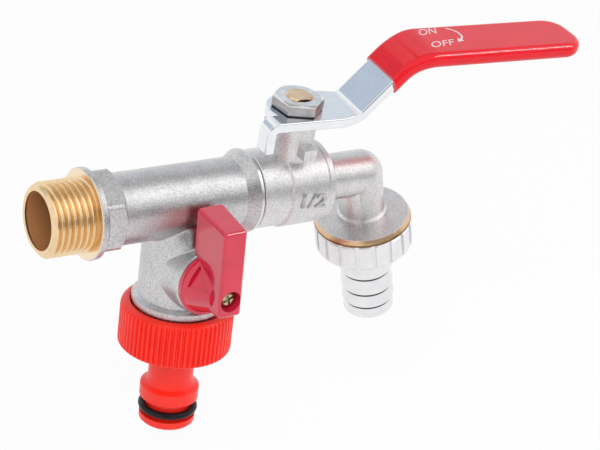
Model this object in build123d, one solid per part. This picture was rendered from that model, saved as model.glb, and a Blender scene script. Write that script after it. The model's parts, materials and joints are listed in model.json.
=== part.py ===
import os
from math import cos, pi, sin, tan
from build123d import *

# Twin-outlet bib tap. Millimetres, +X along the flow away from the wall, +Z up along the main stem.
# The origin is on the main axis, at the shoulder that the inlet thread runs up to.

# Inlet end and main barrel
thread_radius = 10.4775
thread_length = 13.0
thread_chamfer = 0.9
inlet_bore_radius = 8.15
flange_radius = 12.8
flange_thickness = 2.2
flange_edge = 0.4
hex_across_flats = 22.0
hex_end = 8.4
hex_corner_land = 1.35
hex_end_land = 0.0
hex_end_chamfer = 1.4
barrel_radius = 10.1
flare_start = 46.8
joint_ring_start = 50.2
joint_face = 51.3
joint_ring_wall = 2.5
joint_ring_edge = 0.3
flare_reach = 1.0
flare_drop = 0.6
barrel_bore_radius = 7.2
inlet_bore_end = 20.0
barrel_bore_start = 21.0

# Screwed nose that carries the inlet seat
nose_end = 57.2
nose_bore_radius = 5.0
nose_taper_start = 46.0
nose_taper_end = 48.2
nose_clearance = 0.1
joint_seal_inset = 0.9

# Side branch, square to the barrel and swung towards the side handle
branch_at = 33.4
branch_swing = 5.2
branch_radius = 12.0
branch_dome = 11.6
branch_lip_start = 30.2
branch_lip_end = 31.8
branch_lip_radius = 13.5
branch_lip_slope = 1.0
branch_thread_radius = 13.2205
branch_end = 40.5
branch_chamfer = 0.8
branch_cavity_radius = 9.4
branch_cavity_top = 10.4
branch_port_radius = 5.0
branch_blend = 1.4
side_boss_blend = 1.0
branch_seat_clearance = 0.1

# Side valve
side_drop = 19.3
side_ball_radius = 7.6
side_bore_radius = 4.75
side_seat_reach = 4.9
side_seat_inner = 5.2
retainer_length = 9.0
retainer_socket_radius = 6.6
retainer_socket_depth = 3.0
retainer_socket_taper = 1.4
retainer_slot_width = 2.2
retainer_slot_depth = 1.5
side_stem_radius = 3.2
side_collar_radius = 4.4
side_boss_root = 11.7
side_boss_rise = 12.4
side_boss_radius = 9.8
side_boss_face = 14.4
side_boss_edge = 0.4
side_slot_floor = 5.2
side_slot_width = 2.8
side_collar_bottom = 7.9
side_collar_top = 9.7
side_washer_thickness = 0.5
side_ring_at = 11.4
side_ring_section = 0.55
side_tang_length = 7.4
side_square = 4.4
side_square_clearance = 0.05
side_stem_end = 20.0

# Side handle, measured out from the branch axis
handle_tilt = 1.6
handle_rear = 13.0
handle_front = 27.1
handle_rear_half = 4.1
handle_front_half = 3.55
handle_top_rear = 22.8
handle_top = 21.1
handle_bottom = 4.9
handle_edge = 0.95
handle_gap = 0.3
hub_radius = 9.5
hub_rim = 15.8
hub_cone_base = 8.9
hub_cone_end = 23.2
hub_cone_radius = 4.6
relief_corners = ((-4.1, 7.05, 16.5), (-8.05, 1.46, 17.0), (-4.55, 1.3, 22.8))
relief_depth = 0.75
screw_head_radius = 2.55
screw_well_radius = 3.1
screw_well_floor = 23.6
screw_shank_radius = 1.5
screw_shank_clearance = 0.05
screw_reach = 5.2
screw_hole_depth = 6.0
screw_head_height = 2.0
screw_head_round = 0.9
screw_turn = 20.0
screw_slot_length = 3.4
screw_slot_width = 0.7

# Hose connector on the side branch
grip_top = 32.3
grip_end = 45.8
grip_radius = 16.4
grip_round = 2.2
grip_end_round = 0.9
grip_root = 15.7
grip_ribs = 64
grip_socket_radius = 13.42
grip_socket_lead = 0.5
grip_floor = 42.6
plug_root_radius = 8.2
plug_root_length = 1.2
plug_root_draft = 0.6
plug_neck_radius = 6.6
plug_neck_end = 56.4
plug_shoulder_start = 58.4
plug_shoulder_radius = 7.05
plug_head_start = 59.4
plug_head_end = 63.0
plug_head_radius = 8.6
plug_groove_radius = 6.6
plug_groove_end = 68.6
plug_end = 71.2
plug_end_radius = 8.2
plug_end_chamfer = 0.8
plug_bore_radius = 4.7
plug_ring_section = 1.05
plug_ring_offset = 0.6
connector_washer_bore = 7.0
connector_washer_clearance = 0.52

# Main valve housing
stem_at = 64.6
housing_start = 51.9
housing_step = 61.2
housing_end = 75.8
housing_front_radius = 11.4
housing_edge = 0.3
housing_step_slope = 0.5
housing_radius = 12.0
housing_groove_at = 73.3
housing_groove_half = 0.3
housing_groove_depth = 0.25
housing_end_edge = 0.8
cavity_end = 72.3
ball_radius = 8.3
ball_bore_radius = 5.0
seat_outer_radius = 9.4
seat_inner_radius = 5.3
seat_fit = 0.1
seat_clearance = 0.08
seat_reach = 5.6
slot_width = 3.2
slot_floor = 5.9
tang_radius = 4.4
tang_clearance = 0.05

# Neck, main stem and its seals
neck_radius = 6.4
neck_top = 21.2
stem_radius = 4.0
stem_clearance = 0.05
stem_collar_clearance = 0.3
stem_collar_radius = 5.2
stem_collar_bottom = 8.75
stem_collar_top = 9.95
thrust_washer_thickness = 0.6
thrust_washer_play = 0.1
stem_flats = 6.4
stem_flat_clearance = 0.05
stem_top = 29.0
stem_thread_radius = 3.95
stem_thread_chamfer = 0.5
ring_groove_levels = (14.0, 17.2)
ring_section = 0.75
ring_groove_play = 0.15
lug_width = 4.2
lug_height = 3.2
lug_level = 14.4
front_lug_reach = 9.8
front_lug_offset = 0.5
rear_lug_reach = 12.0
rear_lug_offset = 0.1

# Main lever
lever_yaw = 4.2
lever_thickness = 2.95
lever_face = 24.84
lever_half_width = 8.9
lever_grip_half_width = 7.3
lever_taper_at = 11.5
lever_taper_past_bend = 0.6
lever_bend_at = 16.5
lever_bend_radius = 3.0
lever_crest_radius = 16.0
lever_slope = 47.5
lever_grip_face = 42.25
lever_tip = 89.6
lever_tip_corner = 5.8
tab_inner = 10.2
tab_edge = 3.4
tab_bottom = 15.3
tab_bend = 0.6
sleeve_start = 25.5
sleeve_mouth_lean = 20.5
sleeve_skin = 0.95
sleeve_top_round = 1.9
sleeve_round = 2.2
sleeve_widening = 1.0
sleeve_widening_start = 29.0
sleeve_widening_end = 39.0
sleeve_tip_corner = 6.8
lever_nut_flats = 13.0
lever_nut_top = 28.5
lever_nut_turn = -18.0
lever_nut_corner_land = 1.1
lever_nut_chamfer = 0.5
lever_nut_top_land = -0.1

# Spout
spout_at = 91.4
spout_lean = 16.2
elbow_radius = 6.85
elbow_bore_radius = 4.6
spout_foot_radius = 7.5
spout_foot_height = 1.4
spout_foot_slope = 0.8
spout_flange_top = 14.9
spout_flange_bottom = 16.9
spout_flange_radius = 14.6
spout_flange_edge = 0.4
spout_flange_top_radius = 13.8
spout_thread_radius = 13.2205
spout_end = 21.2
spout_thread_chamfer = 0.7
spout_mouth_radius = 8.4
spout_mouth_depth = 2.0
spout_mouth_taper = 4.0
union_top = 17.2
union_end = 26.4
union_radius = 14.7
union_top_edge = 0.5
union_end_edge = 0.6
union_end_round = 1.4
union_grooves = 18
union_groove_turn = 10.0
union_groove_width = 1.3
union_groove_depth = 0.6
union_lip = 24.7
union_socket_radius = 13.42
union_hole_radius = 7.9
union_washer_thickness = 1.6
tail_flange_radius = 12.6
tail_radius = 7.75
tail_barb_radius = 8.0
tail_root_radius = 7.2
tail_bore_radius = 5.4
tail_end = 50.8
tail_end_chamfer = 0.8
tail_barbs = (34.9, 40.9, 45.9)
tail_barb_land = 1.2
tail_barb_undercut = 0.6

# Sizes that follow from the ones above
cavity_radius = seat_outer_radius + seat_fit
nose_radius = cavity_radius - nose_clearance
joint_ring_radius = cavity_radius + joint_ring_wall
branch_seat_radius = branch_cavity_radius - branch_seat_clearance
outline_height = 2 * lever_grip_face
hub_rear = side_boss_face + handle_gap

os.makedirs("parts", exist_ok=True)


def turned(points):
    """Solid of revolution about Z from (distance along Z, radius) points."""
    outline = [(radius, along) for along, radius in points]
    profile = make_face(Plane.XZ * Polyline(*outline, close=True))
    return revolve(profile, Axis.Z)


def ribbed(count, tip, root, start, end):
    """Prism along Z with a saw of straight ribs round it."""
    points = []
    step = 2 * pi / count
    for number in range(count):
        angle = number * step
        for share, radius in ((0.0, root), (0.25, tip), (0.6, tip), (0.85, root)):
            points.append((radius * cos(angle + share * step), radius * sin(angle + share * step)))
    face = make_face(Polyline(*points, close=True))
    return Pos(0, 0, start) * extrude(face, end - start)


main_axis = Rot(0, 90, 0)
inlet_half = Rot(-branch_swing, 0, 0)
branch_axis = Pos(branch_at, 0, 0) * Rot(180, 0, 0)
side_axis = Pos(branch_at, 0, -side_drop) * Rot(90, 0, 0)
side_turn = inlet_half * side_axis * Rot(0, 0, handle_tilt)
spout_axis = Pos(spout_at, 0, 0) * Rot(0, 180 - spout_lean, 0)
main_stem_axis = Pos(stem_at, 0, 0) * Rot(0, 0, -lever_yaw)

# Inlet body: thread, shoulder, hexagon, barrel, branch and the nose that screws into the housing
barrel = main_axis * turned([
    (-thread_length, 0), (-thread_length, thread_radius - thread_chamfer),
    (-thread_length + thread_chamfer, thread_radius), (0, thread_radius),
    (0, flange_radius - flange_edge), (flange_edge, flange_radius),
    (flange_thickness - flange_edge, flange_radius), (flange_thickness, flange_radius - flange_edge),
    (flange_thickness, barrel_radius), (flare_start, barrel_radius),
    (joint_ring_start - flare_reach, joint_ring_radius - flare_drop), (joint_ring_start, joint_ring_radius),
    (joint_face - joint_ring_edge, joint_ring_radius), (joint_face, joint_ring_radius - joint_ring_edge),
    (joint_face, nose_radius), (nose_end, nose_radius), (nose_end, 0)])
hexagon = RegularPolygon(hex_across_flats / 2, 6, major_radius=False, rotation=0)
hexagon_bar = main_axis * Pos(0, 0, flange_thickness) * extrude(hexagon, hex_end - flange_thickness)
hexagon_bar &= main_axis * turned([
    (0, 0), (0, hex_across_flats / 2 + hex_corner_land),
    (hex_end - hex_end_chamfer, hex_across_flats / 2 + hex_corner_land),
    (hex_end, hex_across_flats / 2 + hex_end_land), (hex_end, 0)])
branch = branch_axis * Pos(0, 0, branch_dome) * Sphere(branch_radius)
branch += branch_axis * turned([
    (branch_dome, 0), (branch_dome, branch_radius), (branch_lip_start - branch_lip_slope, branch_radius),
    (branch_lip_start, branch_lip_radius), (branch_lip_end, branch_lip_radius),
    (branch_lip_end, branch_thread_radius), (branch_end - branch_chamfer, branch_thread_radius),
    (branch_end, branch_thread_radius - branch_chamfer), (branch_end, 0)])
side_boss = side_axis * turned([
    (0, 0), (0, side_boss_root), (side_boss_rise, side_boss_radius),
    (side_boss_face - side_boss_edge, side_boss_radius),
    (side_boss_face, side_boss_radius - side_boss_edge), (side_boss_face, 0)])
inlet_body = barrel + hexagon_bar + branch
blend_edges = [edge for edge in inlet_body.edges()
               if -barrel_radius - 0.9 < edge.center().Z < -1
               and abs(edge.center().X - branch_at) < branch_radius + 1]
inlet_body = fillet(blend_edges, branch_blend)
plain_spots = [edge.center() for edge in inlet_body.edges()]
inlet_body += side_boss
boss_edges = [edge for edge in inlet_body.edges()
              if min((edge.center() - spot).length for spot in plain_spots) > 0.05
              and edge.center().Y > 1 - side_boss_rise and edge.length > 3]
inlet_body = fillet(boss_edges, side_boss_blend)
inlet_body -= main_axis * turned([
    (-thread_length - 1, 0), (-thread_length - 1, inlet_bore_radius), (inlet_bore_end, inlet_bore_radius),
    (barrel_bore_start, barrel_bore_radius), (nose_taper_start, barrel_bore_radius),
    (nose_taper_end, nose_bore_radius),
    (nose_end + 1, nose_bore_radius), (nose_end + 1, 0)])
inlet_body -= branch_axis * Cylinder(
    branch_port_radius, branch_cavity_top + 1, align=(Align.CENTER, Align.CENTER, Align.MIN))
inlet_body -= branch_axis * Pos(0, 0, branch_cavity_top) * Cylinder(
    branch_cavity_radius, branch_end, align=(Align.CENTER, Align.CENTER, Align.MIN))
inlet_body -= side_axis * Cylinder(
    side_stem_radius + stem_clearance, side_boss_face + 1, align=(Align.CENTER, Align.CENTER, Align.MIN))
inlet_body -= side_axis * Cylinder(
    side_collar_radius + stem_collar_clearance, side_collar_top + side_washer_thickness + thrust_washer_play,
    align=(Align.CENTER, Align.CENTER, Align.MIN))
inlet_body = inlet_half * inlet_body

# Body joint seal between the two castings
body_joint_seal = main_axis * turned([
    (joint_face, nose_radius + nose_clearance), (joint_face, joint_ring_radius - joint_seal_inset),
    (housing_start, joint_ring_radius - joint_seal_inset), (housing_start, nose_radius + nose_clearance)])

# Spout body: housing, neck, stop lugs, elbow and threaded outlet
housing = main_axis * turned([
    (housing_start, 0), (housing_start, housing_front_radius - housing_edge),
    (housing_start + housing_edge, housing_front_radius),
    (housing_step - housing_step_slope, housing_front_radius), (housing_step, housing_radius),
    (housing_groove_at - housing_groove_half, housing_radius),
    (housing_groove_at, housing_radius - housing_groove_depth),
    (housing_groove_at + housing_groove_half, housing_radius),
    (housing_end - housing_end_edge, housing_radius),
    (housing_end, housing_radius - housing_end_edge), (housing_end, 0)])
neck = Pos(stem_at, 0, 0) * Cylinder(neck_radius, neck_top, align=(Align.CENTER, Align.CENTER, Align.MIN))
front_lug = Pos(stem_at + front_lug_offset, 0, lug_level) * Box(
    lug_width, front_lug_reach, lug_height, align=(Align.CENTER, Align.MAX, Align.CENTER))
rear_lug = Pos(stem_at + rear_lug_offset, 0, lug_level) * Box(
    lug_width, rear_lug_reach, lug_height, align=(Align.CENTER, Align.MIN, Align.CENTER))
elbow = Pos(housing_end - 1, 0, 0) * Rot(0, 90, 0) * Cylinder(
    elbow_radius, spout_at - housing_end + 1, align=(Align.CENTER, Align.CENTER, Align.MIN))
elbow += Pos(spout_at, 0, 0) * Sphere(elbow_radius)
outlet = spout_axis * turned([
    (0, 0), (0, elbow_radius), (spout_flange_top - spout_foot_height - spout_foot_slope, elbow_radius),
    (spout_flange_top - spout_foot_height, spout_foot_radius), (spout_flange_top, spout_foot_radius),
    (spout_flange_top, spout_flange_top_radius),
    (spout_flange_bottom - spout_flange_edge, spout_flange_radius),
    (spout_flange_bottom, spout_flange_radius), (spout_flange_bottom, spout_thread_radius),
    (spout_end - spout_thread_chamfer, spout_thread_radius),
    (spout_end, spout_thread_radius - spout_thread_chamfer), (spout_end, 0)])
spout_body = housing + neck + front_lug + rear_lug + elbow + outlet
spout_body -= main_axis * turned([
    (housing_start - 1, 0), (housing_start - 1, cavity_radius), (cavity_end, cavity_radius),
    (cavity_end, elbow_bore_radius), (spout_at, elbow_bore_radius), (spout_at, 0)])
spout_body -= Pos(spout_at, 0, 0) * Sphere(elbow_bore_radius)
spout_body -= spout_axis * turned([
    (0, 0), (0, elbow_bore_radius), (spout_end - spout_mouth_depth - spout_mouth_taper, elbow_bore_radius),
    (spout_end - spout_mouth_depth, spout_mouth_radius), (spout_end + 1, spout_mouth_radius),
    (spout_end + 1, 0)])
spout_body -= Pos(stem_at, 0, 0) * Cylinder(
    stem_radius + stem_clearance, neck_top + 1, align=(Align.CENTER, Align.CENTER, Align.MIN))
spout_body -= Pos(stem_at, 0, 0) * Cylinder(
    stem_collar_radius + stem_collar_clearance,
    stem_collar_top + thrust_washer_thickness + thrust_washer_play,
    align=(Align.CENTER, Align.CENTER, Align.MIN))

# Main ball and its two seats
main_ball = Sphere(ball_radius) - Rot(0, 90, 0) * Cylinder(ball_bore_radius, 4 * ball_radius)
main_ball -= Pos(0, 0, slot_floor) * Box(
    slot_width, 4 * ball_radius, ball_radius, align=(Align.CENTER, Align.CENTER, Align.MIN))
main_ball = main_stem_axis * main_ball
seat_ball = Pos(stem_at, 0, 0) * Rot(0, 90, 0) * Sphere(ball_radius + seat_clearance)
main_seat_inlet = main_axis * turned([
    (nose_end, seat_inner_radius), (nose_end, seat_outer_radius),
    (stem_at - seat_reach, seat_outer_radius), (stem_at - seat_reach, seat_inner_radius)]) - seat_ball
main_seat_outlet = main_axis * turned([
    (stem_at + seat_reach, seat_inner_radius), (stem_at + seat_reach, seat_outer_radius),
    (cavity_end, seat_outer_radius), (cavity_end, seat_inner_radius)]) - seat_ball

# Main stem with its tang, collar, ring grooves and flats
stem_points = [(stem_collar_bottom, 0), (stem_collar_bottom, stem_collar_radius),
               (stem_collar_top, stem_collar_radius), (stem_collar_top, stem_radius)]
ring_groove = ring_section + ring_groove_play
for level in ring_groove_levels:
    stem_points += [(level - ring_groove, stem_radius), (level - ring_groove, stem_radius - 2 * ring_section),
                    (level + ring_groove, stem_radius - 2 * ring_section), (level + ring_groove, stem_radius)]
stem_points += [(lever_face - lever_thickness, stem_radius), (lever_face - lever_thickness, 0)]
main_stem = turned(stem_points)
stem_tang = Box(slot_width - 2 * tang_clearance, 4 * tang_radius, stem_collar_bottom - slot_floor,
                align=(Align.CENTER, Align.CENTER, Align.MAX))
stem_tang = Pos(0, 0, stem_collar_bottom + 0.2) * stem_tang
stem_tang &= Cylinder(tang_radius, 2 * stem_top)
stem_head = turned([
    (lever_face - lever_thickness - 0.2, 0), (lever_face - lever_thickness - 0.2, stem_thread_radius),
    (stem_top - stem_thread_chamfer, stem_thread_radius),
    (stem_top, stem_thread_radius - stem_thread_chamfer), (stem_top, 0)])
stem_head &= Pos(0, 0, lever_face) * Box(4 * stem_radius, stem_flats, stem_top)
main_stem = main_stem_axis * (main_stem + stem_tang + stem_head)
main_thrust_washer = main_stem_axis * turned([
    (stem_collar_top, stem_radius + stem_clearance), (stem_collar_top, stem_collar_radius),
    (stem_collar_top + thrust_washer_thickness, stem_collar_radius),
    (stem_collar_top + thrust_washer_thickness, stem_radius + stem_clearance)])
main_stem_ring_lower = main_stem_axis * Pos(0, 0, ring_groove_levels[0]) * Torus(
    stem_radius - ring_section, ring_section)
main_stem_ring_upper = main_stem_axis * Pos(0, 0, ring_groove_levels[1]) * Torus(
    stem_radius - ring_section, ring_section)

# Main lever: one bent plate, cut to its outline, with the stop tab turned down from its end
half_turn = tan(lever_slope * pi / 360)
bend_end = lever_bend_at + (lever_grip_face - lever_face) / tan(lever_slope * pi / 180)


def bent_bar(above, below, start, end, width):
    """Bar between two offsets from the lever's top face, bent up once and level again."""
    corners = []
    for offset_up, order in ((above, 1), (-below, -1)):
        low, high = lever_face + offset_up, lever_grip_face + offset_up
        line = [(start, low), (lever_bend_at - offset_up * half_turn, low),
                (bend_end - offset_up * half_turn, high), (end, high)]
        corners += line[::order]
    bar = extrude(make_face(Plane.XZ * Polyline(*corners, close=True)), width, both=True)
    for offset_up, first, second in ((above, lever_bend_radius - above, lever_crest_radius + above),
                                     (-below, lever_bend_radius + below, lever_crest_radius - below)):
        for along, level, radius in ((lever_bend_at, lever_face, first), (bend_end, lever_grip_face, second)):
            spot = (along - offset_up * half_turn, level + offset_up)
            edges = [edge for edge in bar.edges().filter_by(Axis.Y)
                     if abs(edge.center().X - spot[0]) < 0.01 and abs(edge.center().Z - spot[1]) < 0.01]
            bar = fillet(edges, radius)
    return bar


def grip_outline(half_width, tip, corner):
    """Tall block with the grip's rounded end."""
    block = Box(tip, 2 * half_width, outline_height, align=(Align.MIN, Align.CENTER, Align.MIN))
    ends = [edge for edge in block.edges().filter_by(Axis.Z) if edge.center().X > tip - 0.1]
    return fillet(ends, corner)


taper_end = lever_bend_at + lever_taper_past_bend
shoulder_outline = make_face(Polyline(
    (0, -lever_half_width), (lever_taper_at, -lever_half_width), (taper_end, -lever_grip_half_width),
    (bend_end, -lever_grip_half_width), (bend_end, lever_grip_half_width), (taper_end, lever_grip_half_width),
    (lever_taper_at, lever_half_width), (0, lever_half_width), close=True))
lever_outline = extrude(shoulder_outline, outline_height) + Cylinder(
    lever_half_width, outline_height, align=(Align.CENTER, Align.CENTER, Align.MIN))
lever_outline += grip_outline(lever_grip_half_width, lever_tip, lever_tip_corner)
stop_tab = make_face(Plane.XZ * Polyline(
    (0, lever_face), (-tab_inner - lever_thickness, lever_face), (-tab_inner - lever_thickness, tab_bottom),
    (-tab_inner, tab_bottom), (-tab_inner, lever_face - lever_thickness), (0, lever_face - lever_thickness),
    close=True))
stop_tab = Pos(0, -tab_edge, 0) * extrude(stop_tab, lever_half_width - tab_edge)
tab_outside = [edge for edge in stop_tab.edges().filter_by(Axis.Y)
               if edge.center().X < -tab_inner - 1 and edge.center().Z > lever_face - 0.1]
stop_tab = fillet(tab_outside, lever_thickness + tab_bend)
tab_inside = [edge for edge in stop_tab.edges().filter_by(Axis.Y)
              if abs(edge.center().X + tab_inner) < 0.1 and edge.center().Z > tab_bottom + 1]
stop_tab = fillet(tab_inside, tab_bend)
lever_plate = bent_bar(0, lever_thickness, -2 * lever_half_width, 2 * lever_tip, 2 * lever_half_width)
lever_plate &= lever_outline
lever_plate += stop_tab
stem_hole = Pos(0, 0, lever_face) * Cylinder(stem_thread_radius + stem_clearance, 4 * lever_thickness)
stem_hole &= Pos(0, 0, lever_face) * Box(
    4 * stem_radius, stem_flats + 2 * stem_flat_clearance, 4 * lever_thickness)
lever_plate -= stem_hole
main_lever = main_stem_axis * lever_plate

# Dipped sleeve over the lever's grip
sleeve = bent_bar(sleeve_skin, lever_thickness + sleeve_skin, 0, 2 * lever_tip, 2 * lever_half_width)
sleeve_slim = lever_grip_half_width + sleeve_skin
sleeve_wide = sleeve_slim + sleeve_widening
sleeve_tip = lever_tip + sleeve_skin
near_side = Spline((sleeve_widening_start, -sleeve_slim), (sleeve_widening_end, -sleeve_wide),
                   tangents=((1, 0), (1, 0)))
far_side = Spline((sleeve_widening_end, sleeve_wide), (sleeve_widening_start, sleeve_slim),
                  tangents=((-1, 0), (-1, 0)))
sleeve_plan = make_face([
    Line((0, -sleeve_slim), (sleeve_widening_start, -sleeve_slim)), near_side,
    Line((sleeve_widening_end, -sleeve_wide), (sleeve_tip, -sleeve_wide)),
    Line((sleeve_tip, -sleeve_wide), (sleeve_tip, sleeve_wide)),
    Line((sleeve_tip, sleeve_wide), (sleeve_widening_end, sleeve_wide)), far_side,
    Line((sleeve_widening_start, sleeve_slim), (0, sleeve_slim)), Line((0, sleeve_slim), (0, -sleeve_slim))])
sleeve_block = extrude(sleeve_plan, outline_height)
tip_edges = [edge for edge in sleeve_block.edges().filter_by(Axis.Z) if edge.center().X > sleeve_tip - 0.1]
sleeve_block = fillet(tip_edges, sleeve_tip_corner)
sleeve &= sleeve_block
sleeve_mouth = lever_face + (sleeve_start - lever_bend_at) * tan(lever_slope * pi / 180)
sleeve &= Pos(sleeve_start, 0, sleeve_mouth) * Rot(0, -sleeve_mouth_lean, 0) * Box(
    2 * lever_tip, 4 * lever_half_width, 2 * outline_height, align=(Align.MIN, Align.CENTER, Align.CENTER))
lean_cos = cos(sleeve_mouth_lean * pi / 180)
lean_sin = sin(sleeve_mouth_lean * pi / 180)
top_edges = []
low_edges = []
for edge in sleeve.edges():
    middle = edge.center()
    from_mouth = (middle.X - sleeve_start) * lean_cos + (middle.Z - sleeve_mouth) * lean_sin
    rise = min(max(middle.X - lever_bend_at, 0), bend_end - lever_bend_at) * tan(lever_slope * pi / 180)
    if from_mouth > 0.2 and abs(edge.tangent_at(0.5).Z) < 0.9:
        if middle.Z > lever_face + rise - lever_thickness:
            top_edges.append(edge)
        else:
            low_edges.append(edge)
low_spots = [edge.center() for edge in low_edges]
sleeve = fillet(top_edges, sleeve_top_round)
low_edges = [edge for edge in sleeve.edges()
             if min((edge.center() - spot).length for spot in low_spots) < 0.05]
sleeve = fillet(low_edges, sleeve_round)
lever_sleeve = main_stem_axis * (sleeve - lever_plate)

# Lever nut
nut_face = RegularPolygon(lever_nut_flats / 2, 6, major_radius=False, rotation=lever_nut_turn)
nut_height = lever_nut_top - lever_face
nut_corner = lever_nut_flats / 2 + lever_nut_corner_land
lever_nut = Pos(0, 0, lever_face) * extrude(nut_face, nut_height)
lever_nut &= Pos(0, 0, lever_face) * turned([
    (0, 0), (0, nut_corner - lever_nut_chamfer - 0.1), (lever_nut_chamfer, nut_corner),
    (nut_height - lever_nut_chamfer, nut_corner), (nut_height, lever_nut_flats / 2 + lever_nut_top_land),
    (nut_height, 0)])
lever_nut -= Pos(0, 0, lever_face) * Cylinder(stem_thread_radius + stem_clearance, 4 * nut_height)
lever_nut = main_stem_axis * lever_nut

# Side ball, its two seats and the ring screwed in under them
side_ball = Sphere(side_ball_radius) - Rot(90, 0, 0) * Cylinder(side_bore_radius, 4 * side_ball_radius)
side_ball -= Pos(0, 0, side_slot_floor) * Box(
    4 * side_ball_radius, side_slot_width, side_ball_radius, align=(Align.CENTER, Align.CENTER, Align.MIN))
side_ball = side_turn * side_ball
seat_ball = branch_axis * Pos(0, 0, side_drop) * Sphere(side_ball_radius + seat_clearance)
side_seat_upper = branch_axis * turned([
    (branch_cavity_top, side_seat_inner), (branch_cavity_top, branch_seat_radius),
    (side_drop - side_seat_reach, branch_seat_radius), (side_drop - side_seat_reach, side_seat_inner)])
side_seat_upper = inlet_half * (side_seat_upper - seat_ball)
seat_bottom = 2 * side_drop - branch_cavity_top
side_seat_lower = branch_axis * turned([
    (side_drop + side_seat_reach, side_seat_inner), (side_drop + side_seat_reach, branch_seat_radius),
    (seat_bottom, branch_seat_radius), (seat_bottom, side_seat_inner)])
side_seat_lower = inlet_half * (side_seat_lower - seat_ball)
retainer_end = seat_bottom + retainer_length
side_seat_retainer = branch_axis * turned([
    (seat_bottom, side_seat_inner), (seat_bottom, branch_seat_radius),
    (retainer_end, branch_seat_radius), (retainer_end, retainer_socket_radius),
    (retainer_end - retainer_socket_depth, retainer_socket_radius),
    (retainer_end - retainer_socket_depth - retainer_socket_taper, side_seat_inner)])
for turn in (0, 90):
    side_seat_retainer -= branch_axis * Pos(0, 0, retainer_end) * Rot(0, 0, turn) * Box(
        4 * branch_seat_radius, retainer_slot_width, 2 * retainer_slot_depth)
side_seat_retainer = inlet_half * side_seat_retainer

# Side stem and its seals
side_groove = side_ring_section + ring_groove_play
side_stem = turned([
    (side_collar_bottom, 0), (side_collar_bottom, side_collar_radius), (side_collar_top, side_collar_radius),
    (side_collar_top, side_stem_radius), (side_ring_at - side_groove, side_stem_radius),
    (side_ring_at - side_groove, side_stem_radius - 2 * side_ring_section),
    (side_ring_at + side_groove, side_stem_radius - 2 * side_ring_section),
    (side_ring_at + side_groove, side_stem_radius),
    (hub_rear + 0.6, side_stem_radius), (hub_rear + 0.6, 0)])
side_tang = Box(side_tang_length, side_slot_width - 2 * tang_clearance, side_collar_bottom - side_slot_floor,
                align=(Align.CENTER, Align.CENTER, Align.MAX))
side_stem += Pos(0, 0, side_collar_bottom + 0.2) * side_tang
side_stem += Pos(0, 0, hub_rear + 0.4) * Box(
    side_square, side_square, side_stem_end - hub_rear - 0.4, align=(Align.CENTER, Align.CENTER, Align.MIN))
side_stem -= Pos(0, 0, side_stem_end - screw_hole_depth) * Cylinder(
    screw_shank_radius, 2 * screw_hole_depth, align=(Align.CENTER, Align.CENTER, Align.MIN))
side_stem = side_turn * side_stem
side_thrust_washer = side_turn * turned([
    (side_collar_top, side_stem_radius + stem_clearance), (side_collar_top, side_collar_radius),
    (side_collar_top + side_washer_thickness, side_collar_radius),
    (side_collar_top + side_washer_thickness, side_stem_radius + stem_clearance)])
side_stem_ring = side_turn * Pos(0, 0, side_ring_at) * Torus(
    side_stem_radius - side_ring_section, side_ring_section)

# Side handle: drafted blade, round hub with a sunk triangle on each coned flank, square socket, screw well
blade_plan = make_face(Plane.XZ * Polyline(
    (-handle_rear_half, handle_rear), (-handle_front_half, handle_front), (handle_front_half, handle_front),
    (handle_rear_half, handle_rear), close=True))
blade_side = make_face(Plane.YZ * Polyline(
    (-handle_bottom, handle_rear), (-handle_bottom, handle_front), (handle_top, handle_front),
    (handle_top_rear, handle_rear), close=True))
blade = extrude(blade_plan, 2 * handle_top_rear, both=True)
blade &= extrude(blade_side, 2 * handle_rear_half, both=True)
blade_edges = [edge for edge in blade.edges() if edge.center().Z > handle_rear + 1]
blade = fillet(blade_edges, handle_edge)
blade -= Cylinder(side_boss_radius + handle_gap, hub_rear, align=(Align.CENTER, Align.CENTER, Align.MIN))
hub = turned([
    (hub_rear, 0), (hub_rear, hub_radius), (hub_rim, hub_radius), (hub_rim, hub_cone_base),
    (hub_cone_end, hub_cone_radius), (hub_cone_end, 0)])
first, second, third = (Vector(*corner) for corner in relief_corners)
relief_out = (second - first).cross(third - first).normalized()
relief = extrude(make_face(Polyline(first, second, third, close=True)), hub_radius, dir=relief_out)
relief = Pos(relief_out * -relief_depth) * relief
hub -= relief
hub -= mirror(relief, Plane.YZ)
side_handle = blade + hub
side_handle -= Pos(0, 0, hub_rear) * Box(
    side_square + 2 * side_square_clearance, side_square + 2 * side_square_clearance,
    2 * (side_stem_end - hub_rear + handle_gap))
side_handle -= Pos(0, 0, screw_well_floor) * Cylinder(
    screw_well_radius, handle_front, align=(Align.CENTER, Align.CENTER, Align.MIN))
side_handle -= Cylinder(screw_shank_radius + 0.2, 3 * handle_front)
side_handle -= Cylinder(side_stem_radius + 0.35, 2 * (hub_rear + 0.9))
side_handle = side_turn * side_handle
screw_head_top = screw_well_floor + screw_head_height
screw_shank = screw_shank_radius - screw_shank_clearance
side_handle_screw = turned([
    (side_stem_end - screw_reach, 0), (side_stem_end - screw_reach, screw_shank),
    (screw_well_floor, screw_shank), (screw_well_floor, screw_head_radius),
    (screw_head_top - screw_head_round, screw_head_radius),
    (screw_head_top, screw_head_radius - screw_head_round), (screw_head_top, 0)])
for turn in (screw_turn, screw_turn + 90):
    side_handle_screw -= Pos(0, 0, screw_head_top - 0.3) * Rot(0, 0, turn) * Box(
        screw_slot_length, screw_slot_width, 1.6)
side_handle_screw = side_turn * side_handle_screw

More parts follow.
